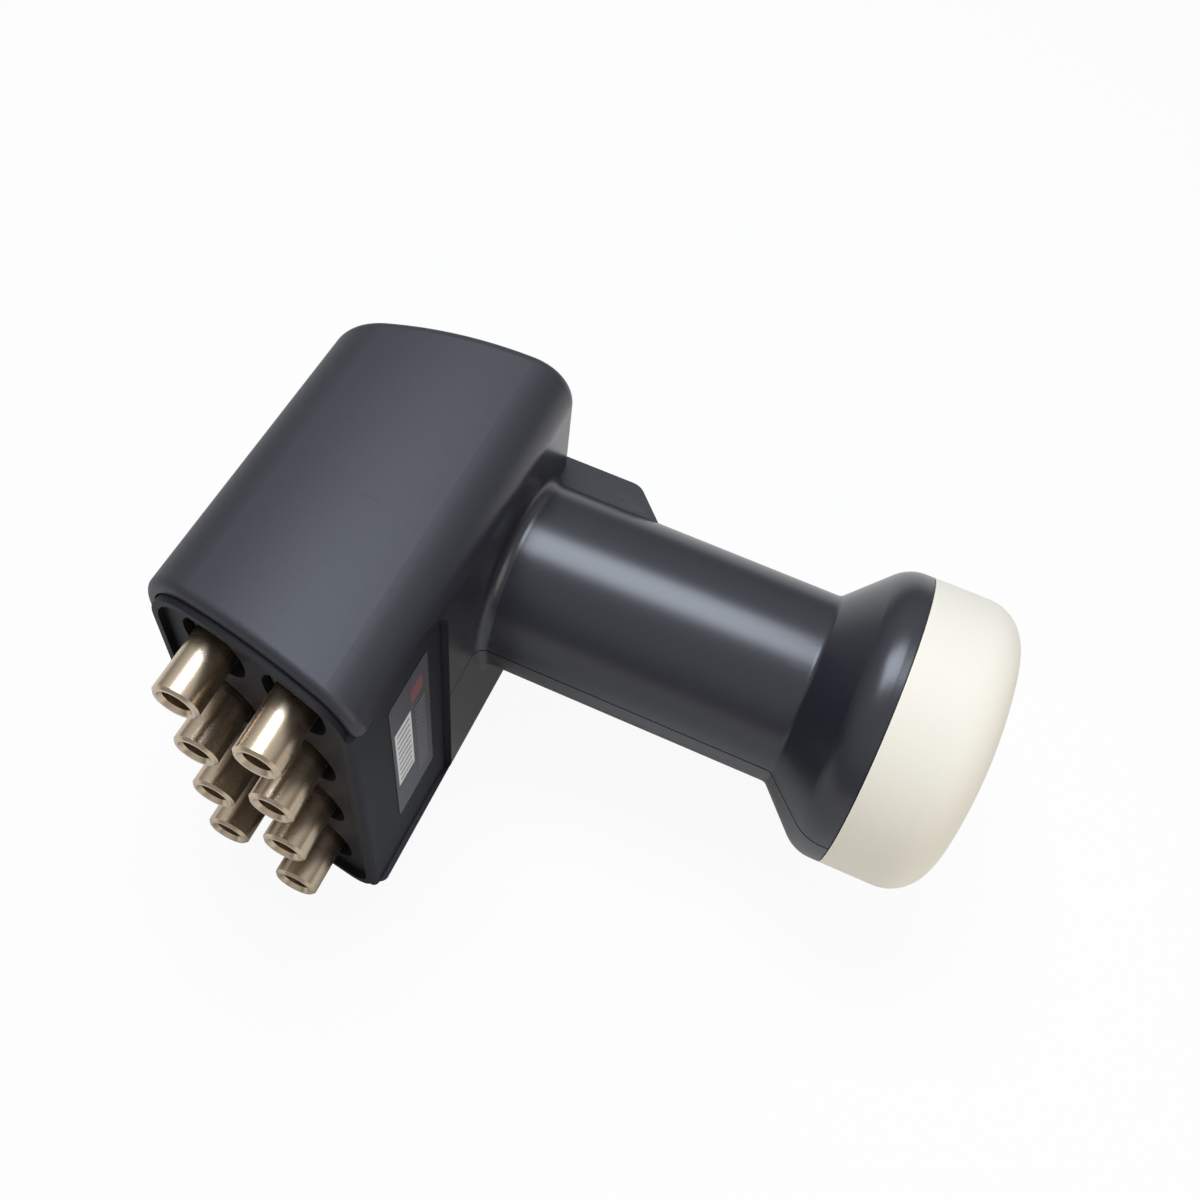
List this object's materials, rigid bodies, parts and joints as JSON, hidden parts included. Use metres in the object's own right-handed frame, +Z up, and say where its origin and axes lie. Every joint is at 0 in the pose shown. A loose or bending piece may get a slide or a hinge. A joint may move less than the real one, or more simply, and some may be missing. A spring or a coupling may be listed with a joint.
{
  "type": "satellite lnb",
  "caption": "Satellite converter with a round clamp neck, a flared horn under a pale cap, and an arched body whose end carries eight coaxial output sockets.",
  "frame": {"origin": "on the neck's axis, at the front face of the body where the neck begins", "axes": "+X along the neck to the horn cap, -Y the way the outputs point, +Z up as the part lies on its side"},
  "size_m": [0.1477, 0.1004, 0.0844],
  "materials": {
    "housing_plastic": "satin moulded",
    "insert_plastic": "fine moulded",
    "label_film": "printed film",
    "cap_plastic": "satin moulded",
    "seal_rubber": "matt",
    "casting_metal": "die cast",
    "screw_steel": "zinc plated",
    "board_laminate": "solder mask",
    "socket_nickel": "nickel plated",
    "insulator_plastic": "moulded",
    "contact_brass": "plain"
  },
  "bodies": {
    "root": {"upper_shell": "housing_plastic", "lower_shell": "housing_plastic", "connector_insert": "insert_plastic", "label": "label_film", "horn_cap": "cap_plastic", "cap_seal": "seal_rubber", "feed_casting": "casting_metal", "rear_casting": "casting_metal", "casting_gasket": "seal_rubber", "casting_screws": "screw_steel", "circuit_board": "board_laminate", "probe_horizontal": "contact_brass", "probe_vertical": "contact_brass", "connector_body_1": "socket_nickel", "connector_insulator_1": "insulator_plastic", "connector_contact_1": "contact_brass", "connector_body_2": "socket_nickel", "connector_insulator_2": "insulator_plastic", "connector_contact_2": "contact_brass", "connector_body_3": "socket_nickel", "connector_insulator_3": "insulator_plastic", "connector_contact_3": "contact_brass", "connector_body_4": "socket_nickel", "connector_insulator_4": "insulator_plastic", "connector_contact_4": "contact_brass", "connector_body_5": "socket_nickel", "connector_insulator_5": "insulator_plastic", "connector_contact_5": "contact_brass", "connector_body_6": "socket_nickel", "connector_insulator_6": "insulator_plastic", "connector_contact_6": "contact_brass", "connector_body_7": "socket_nickel", "connector_insulator_7": "insulator_plastic", "connector_contact_7": "contact_brass", "connector_body_8": "socket_nickel", "connector_insulator_8": "insulator_plastic", "connector_contact_8": "contact_brass"}
  },
  "joints": []
}
